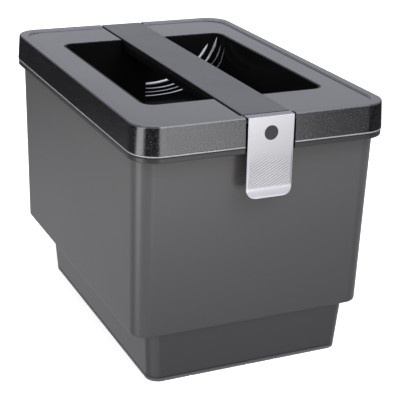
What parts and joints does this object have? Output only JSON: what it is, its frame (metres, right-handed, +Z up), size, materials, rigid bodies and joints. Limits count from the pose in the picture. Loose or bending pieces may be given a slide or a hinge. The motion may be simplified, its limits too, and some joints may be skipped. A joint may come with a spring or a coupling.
{
  "type": "espresso knock box",
  "caption": "Smoky tub with a lift-out liner and a latched lid; a knock bar crosses the lid's opening over a chute for spent coffee.",
  "frame": {"origin": "centre of the whole object's footprint box, on the surface that it stands on", "axes": "+Z up; +X to the right along the front; -Y is the front, the side of the latch"},
  "size_m": [0.2028, 0.3015, 0.2075],
  "materials": {
    "tub_smoke": "satin, lightly frosted",
    "foot_grey": "matt",
    "liner_black": "gloss",
    "lid_graphite": "fine moulded grain",
    "chute_black": "high gloss",
    "grip_graphite": "soft touch",
    "tray_black": "satin",
    "bar_steel": "milled",
    "rubber_black": "matt",
    "zinc_screws": "zinc plated",
    "latch_steel": "satin stainless",
    "pin_steel": "ground",
    "lever_black": "satin",
    "spring_steel": "drawn wire",
    "badge_dark": "printed, matt"
  },
  "bodies": {
    "bin": {"outer_bin": "tub_smoke", "foot_ring": "foot_grey"},
    "liner": {"liner": "liner_black"},
    "lid": {"lid_shell": "lid_graphite", "chute": "chute_black", "chute_screws": "zinc_screws", "lid_seal": "rubber_black", "bar_cover": "grip_graphite", "bar_tray": "tray_black", "bar_core": "bar_steel", "bar_damper_front": "rubber_black", "bar_damper_rear": "rubber_black", "bar_washers": "zinc_screws", "bar_screws": "zinc_screws", "latch_pin": "pin_steel"},
    "latch": {"latch_plate": "latch_steel", "latch_carrier": "lever_black", "plate_studs": "pin_steel", "latch_spring": "spring_steel", "latch_badge": "badge_dark"}
  },
  "joints": [
    {"name": "lid_lift", "type": "slide", "parent": "bin", "child": "lid", "axis": [0, 0, 1], "range_m": [0, 0.32]},
    {"name": "liner_lift", "type": "slide", "parent": "bin", "child": "liner", "axis": [0, 0, 1], "range_m": [0, 0.192]},
    {"name": "latch_hinge", "type": "hinge", "parent": "lid", "child": "latch", "pos_m": [0, -0.14455, 0.2037], "axis": [-1, 0, 0], "range_deg": [0, 20], "stiffness_Nm_per_rad": 0.05, "springref_deg": -14.32}
  ],
  "couplings": [
    {"joint": "liner_lift", "follows": "lid_lift", "ratio": 0.6}
  ]
}
